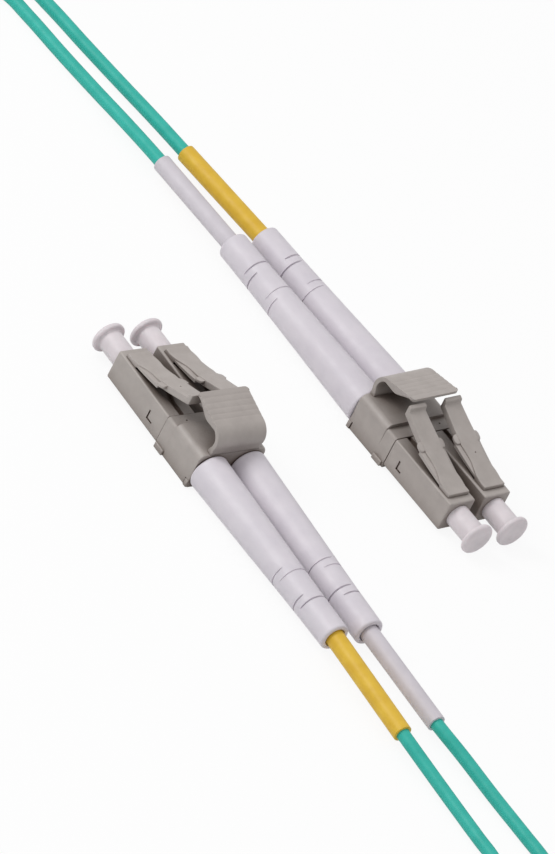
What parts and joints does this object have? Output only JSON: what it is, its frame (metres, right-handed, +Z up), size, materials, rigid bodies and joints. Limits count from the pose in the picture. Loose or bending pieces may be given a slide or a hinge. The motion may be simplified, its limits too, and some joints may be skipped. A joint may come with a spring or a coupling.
{
  "type": "fiber optic patch cord",
  "caption": "Duplex fiber optic patch cord with LC plugs, dust caps, spring-loaded ferrules, press triggers, strain relief boots and a coiled pair of aqua cords.",
  "frame": {"origin": "centre of plug A's clip underside, on the surface that the cord lies on", "axes": "+Z up from the surface; plug A's nose points 35 degrees to the right of +X in plan, towards -Y, and plug B's points the other way, at 141 degrees from +X"},
  "size_m": [0.1348, 0.1808, 0.0105],
  "materials": {
    "housing_plastic": "beige grey, satin, lightly textured",
    "boot_rubber": "white, soft satin",
    "cap_plastic": "milky translucent plastic",
    "ceramic": "polished white zirconia",
    "steel": "plain bright steel",
    "cord_jacket": "aqua, satin",
    "yellow_sleeve": "yellow, satin, no lettering",
    "white_sleeve": "white, satin",
    "tie_plastic": "black nylon"
  },
  "bodies": {
    "connectors_and_cords": {"plug_a_yellow_spring": "steel", "plug_a_yellow_housing": "housing_plastic", "plug_a_yellow_rear_body": "housing_plastic", "plug_a_yellow_crimp_sleeve": "steel", "plug_a_yellow_boot": "boot_rubber", "plug_a_yellow_marker_sleeve": "yellow_sleeve", "plug_a_white_spring": "steel", "plug_a_white_housing": "housing_plastic", "plug_a_white_rear_body": "housing_plastic", "plug_a_white_crimp_sleeve": "steel", "plug_a_white_boot": "boot_rubber", "plug_a_white_marker_sleeve": "white_sleeve", "plug_b_yellow_spring": "steel", "plug_b_yellow_housing": "housing_plastic", "plug_b_yellow_rear_body": "housing_plastic", "plug_b_yellow_crimp_sleeve": "steel", "plug_b_yellow_boot": "boot_rubber", "plug_b_yellow_marker_sleeve": "yellow_sleeve", "plug_b_white_spring": "steel", "plug_b_white_housing": "housing_plastic", "plug_b_white_rear_body": "housing_plastic", "plug_b_white_crimp_sleeve": "steel", "plug_b_white_boot": "boot_rubber", "plug_b_white_marker_sleeve": "white_sleeve", "plug_a_clip": "housing_plastic", "plug_b_clip": "housing_plastic", "yellow_cord_to_plug_a": "cord_jacket", "white_cord_to_plug_a": "cord_jacket", "yellow_cord_to_plug_b": "cord_jacket", "white_cord_to_plug_b": "cord_jacket", "yellow_cord_coil": "cord_jacket", "white_cord_coil": "cord_jacket", "coil_tie_1": "tie_plastic", "coil_tie_2": "tie_plastic"},
    "plug_a_trigger_arm": {"plug_a_trigger": "housing_plastic"},
    "plug_a_yellow_latch_arm": {"plug_a_yellow_latch": "housing_plastic"},
    "plug_a_yellow_cap": {"plug_a_yellow_dust_cap": "cap_plastic"},
    "plug_a_yellow_ferrule_assembly": {"plug_a_yellow_ferrule": "ceramic", "plug_a_yellow_ferrule_flange": "steel"},
    "plug_a_white_latch_arm": {"plug_a_white_latch": "housing_plastic"},
    "plug_a_white_cap": {"plug_a_white_dust_cap": "cap_plastic"},
    "plug_a_white_ferrule_assembly": {"plug_a_white_ferrule": "ceramic", "plug_a_white_ferrule_flange": "steel"},
    "plug_b_trigger_arm": {"plug_b_trigger": "housing_plastic"},
    "plug_b_yellow_latch_arm": {"plug_b_yellow_latch": "housing_plastic"},
    "plug_b_yellow_cap": {"plug_b_yellow_dust_cap": "cap_plastic"},
    "plug_b_yellow_ferrule_assembly": {"plug_b_yellow_ferrule": "ceramic", "plug_b_yellow_ferrule_flange": "steel"},
    "plug_b_white_latch_arm": {"plug_b_white_latch": "housing_plastic"},
    "plug_b_white_cap": {"plug_b_white_dust_cap": "cap_plastic"},
    "plug_b_white_ferrule_assembly": {"plug_b_white_ferrule": "ceramic", "plug_b_white_ferrule_flange": "steel"}
  },
  "joints": [
    {"name": "plug_a_trigger_press", "type": "hinge", "parent": "connectors_and_cords", "child": "plug_a_trigger_arm", "pos_m": [-0.00295, 0.00206, 0.0058], "axis": [0.5736, 0.8192, 0], "range_deg": [0, 17], "stiffness_Nm_per_rad": 0.03},
    {"name": "plug_a_yellow_latch_press", "type": "hinge", "parent": "connectors_and_cords", "child": "plug_a_yellow_latch_arm", "pos_m": [0.01342, -0.00558, 0.0051], "axis": [-0.5736, -0.8192, 0], "range_deg": [0, 10]},
    {"name": "plug_a_yellow_cap_pull", "type": "slide", "parent": "connectors_and_cords", "child": "plug_a_yellow_cap", "axis": [0.8192, -0.5736, 0], "range_m": [0, 0.012]},
    {"name": "plug_a_yellow_ferrule_push", "type": "slide", "parent": "connectors_and_cords", "child": "plug_a_yellow_ferrule_assembly", "axis": [-0.8192, 0.5736, 0], "range_m": [0, 0.0015], "stiffness_N_per_m": 500, "deforming": ["plug_a_yellow_spring"]},
    {"name": "plug_a_white_latch_press", "type": "hinge", "parent": "connectors_and_cords", "child": "plug_a_white_latch_arm", "pos_m": [0.00984, -0.0107, 0.0051], "axis": [-0.5736, -0.8192, 0], "range_deg": [0, 10]},
    {"name": "plug_a_white_cap_pull", "type": "slide", "parent": "connectors_and_cords", "child": "plug_a_white_cap", "axis": [0.8192, -0.5736, 0], "range_m": [0, 0.012]},
    {"name": "plug_a_white_ferrule_push", "type": "slide", "parent": "connectors_and_cords", "child": "plug_a_white_ferrule_assembly", "axis": [-0.8192, 0.5736, 0], "range_m": [0, 0.0015], "stiffness_N_per_m": 500, "deforming": ["plug_a_white_spring"]},
    {"name": "plug_b_trigger_press", "type": "hinge", "parent": "connectors_and_cords", "child": "plug_b_trigger_arm", "pos_m": [-0.0177, -0.02617, 0.0058], "axis": [-0.6293, -0.7771, 0], "range_deg": [0, 17], "stiffness_Nm_per_rad": 0.03},
    {"name": "plug_b_yellow_latch_press", "type": "hinge", "parent": "connectors_and_cords", "child": "plug_b_yellow_latch_arm", "pos_m": [-0.0335, -0.01739, 0.0051], "axis": [0.6293, 0.7771, 0], "range_deg": [0, 10]},
    {"name": "plug_b_yellow_cap_pull", "type": "slide", "parent": "connectors_and_cords", "child": "plug_b_yellow_cap", "axis": [-0.7771, 0.6293, 0], "range_m": [0, 0.012]},
    {"name": "plug_b_yellow_ferrule_push", "type": "slide", "parent": "connectors_and_cords", "child": "plug_b_yellow_ferrule_assembly", "axis": [0.7771, -0.6293, 0], "range_m": [0, 0.0015], "stiffness_N_per_m": 500, "deforming": ["plug_b_yellow_spring"]},
    {"name": "plug_b_white_latch_press", "type": "hinge", "parent": "connectors_and_cords", "child": "plug_b_white_latch_arm", "pos_m": [-0.02957, -0.01253, 0.0051], "axis": [0.6293, 0.7771, 0], "range_deg": [0, 10]},
    {"name": "plug_b_white_cap_pull", "type": "slide", "parent": "connectors_and_cords", "child": "plug_b_white_cap", "axis": [-0.7771, 0.6293, 0], "range_m": [0, 0.012]},
    {"name": "plug_b_white_ferrule_push", "type": "slide", "parent": "connectors_and_cords", "child": "plug_b_white_ferrule_assembly", "axis": [0.7771, -0.6293, 0], "range_m": [0, 0.0015], "stiffness_N_per_m": 500, "deforming": ["plug_b_white_spring"]}
  ],
  "couplings": [
    {"joint": "plug_a_yellow_latch_press", "follows": "plug_a_trigger_press", "ratio": 0.588},
    {"joint": "plug_a_white_latch_press", "follows": "plug_a_trigger_press", "ratio": 0.588},
    {"joint": "plug_b_yellow_latch_press", "follows": "plug_b_trigger_press", "ratio": 0.588},
    {"joint": "plug_b_white_latch_press", "follows": "plug_b_trigger_press", "ratio": 0.588}
  ]
}
